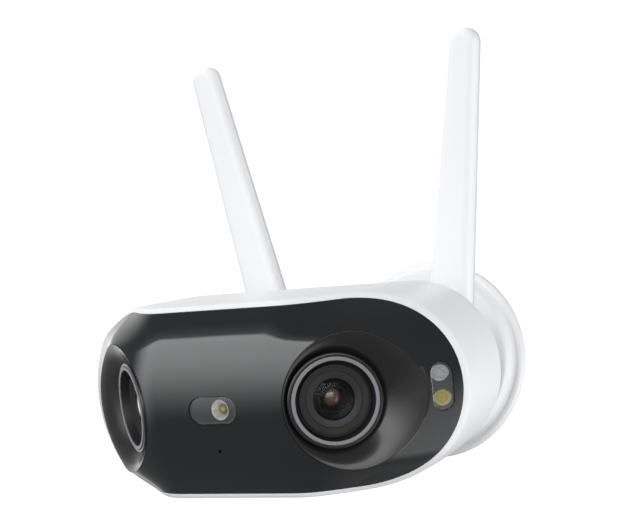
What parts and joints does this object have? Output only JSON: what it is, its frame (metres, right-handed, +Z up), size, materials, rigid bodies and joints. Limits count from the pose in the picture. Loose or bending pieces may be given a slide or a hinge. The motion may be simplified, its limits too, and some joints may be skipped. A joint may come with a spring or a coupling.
{
  "type": "security camera",
  "caption": "Pill-shaped dual-lens wall camera with a domed glossy front, two swinging paddle antennas and a swivelling round wall bracket.",
  "frame": {"origin": "centre of the wall gasket's back face, which rests on the wall", "axes": "+Z up, +Y into the wall, the camera looks towards -Y"},
  "size_m": [0.1872, 0.2004, 0.2011],
  "materials": {
    "white_shell": "fine satin",
    "black_gloss": "high gloss",
    "black_satin": "semi-gloss",
    "baffle_brown": "fine ribbed",
    "ring_metal": "polished, fine turned",
    "lens_glass": "coated",
    "window_clear": "clear",
    "lamp_white": "frosted",
    "lamp_amber": "phosphor",
    "board_green": "solder mask",
    "chip_black": "moulded",
    "steel": "satin",
    "sink_alu": "extruded",
    "copper": "bare",
    "seal_rubber": "matt"
  },
  "bodies": {
    "wall_base": {"wall_plate": "white_shell", "wall_gasket": "seal_rubber", "plate_cover": "white_shell", "pan_pin": "steel"},
    "yoke": {"pan_yoke": "white_shell", "tilt_pin": "steel"},
    "arm": {"tilt_arm": "white_shell"},
    "antenna_left": {"antenna_front_left": "white_shell", "antenna_back_left": "white_shell", "radiator_left": "copper"},
    "antenna_right": {"antenna_front_right": "white_shell", "antenna_back_right": "white_shell", "radiator_right": "copper"},
    "door": {"service_door": "white_shell"},
    "card": {"memory_card": "chip_black"},
    "key": {"reset_key": "chip_black"},
    "camera": {"antenna_pin_left": "steel", "antenna_pin_right": "steel", "card_socket": "steel", "cover_screws": "steel", "front_housing": "white_shell", "front_panel": "black_gloss", "heat_sink": "sink_alu", "housing_seal": "seal_rubber", "image_sensors": "chip_black", "lamp_boards": "board_green", "lens_baffle_left": "baffle_brown", "lens_baffle_right": "baffle_brown", "lens_barrel_left": "black_satin", "lens_barrel_right": "black_satin", "lens_bezel_left": "black_satin", "lens_bezel_right": "black_satin", "lens_glass_left": "lens_glass", "lens_glass_right": "lens_glass", "lens_ring_left": "ring_metal", "lens_ring_right": "ring_metal", "lens_shoulder_left": "black_satin", "lens_shoulder_right": "black_satin", "light_sensor": "chip_black", "main_board": "board_green", "microphone": "steel", "power_inlet": "black_satin", "processor": "chip_black", "rear_housing": "white_shell", "reset_switch": "black_satin", "roll_bush": "black_satin", "sensor_boards": "board_green", "side_lamp_amber": "lamp_amber", "side_lamp_cool": "lamp_white", "side_window": "window_clear", "speaker": "chip_black", "speaker_grille": "black_satin", "status_holder": "lamp_white", "status_led": "lamp_amber", "status_window": "window_clear"}
  },
  "joints": [
    {"name": "pan", "type": "hinge", "parent": "wall_base", "child": "yoke", "pos_m": [0, -0.032, 0], "axis": [0, 0, 1], "range_deg": [-40, 40]},
    {"name": "tilt", "type": "hinge", "parent": "yoke", "child": "arm", "pos_m": [-0.00167, -0.05594, 0], "axis": [0.9976, -0.0698, 0], "range_deg": [-35, 25]},
    {"name": "roll", "type": "hinge", "parent": "arm", "child": "camera", "pos_m": [-0.00333, -0.07959, -0.00375], "axis": [0.0689, 0.9853, 0.1564], "range_deg": [-45, 45]},
    {"name": "antenna_left_swing", "type": "hinge", "parent": "camera", "child": "antenna_left", "pos_m": [-0.04734, -0.07108, 0.0052], "axis": [-0.0689, -0.9853, -0.1564], "range_deg": [-10, 80]},
    {"name": "antenna_right_swing", "type": "hinge", "parent": "camera", "child": "antenna_right", "pos_m": [0.04144, -0.07729, 0.0052], "axis": [0.0689, 0.9853, 0.1564], "range_deg": [-10, 80]},
    {"name": "service_door_hinge", "type": "hinge", "parent": "camera", "child": "door", "pos_m": [-0.02575, -0.08483, -0.03115], "axis": [0.9976, -0.0698, 0], "range_deg": [0, 100]},
    {"name": "card_slide", "type": "slide", "parent": "camera", "child": "card", "axis": [0.0109, 0.1561, -0.9877], "range_m": [0, 0.003]},
    {"name": "reset_press", "type": "slide", "parent": "camera", "child": "key", "axis": [-0.0109, -0.1561, 0.9877], "range_m": [0, 0.0007], "stiffness_N_per_m": 800}
  ]
}
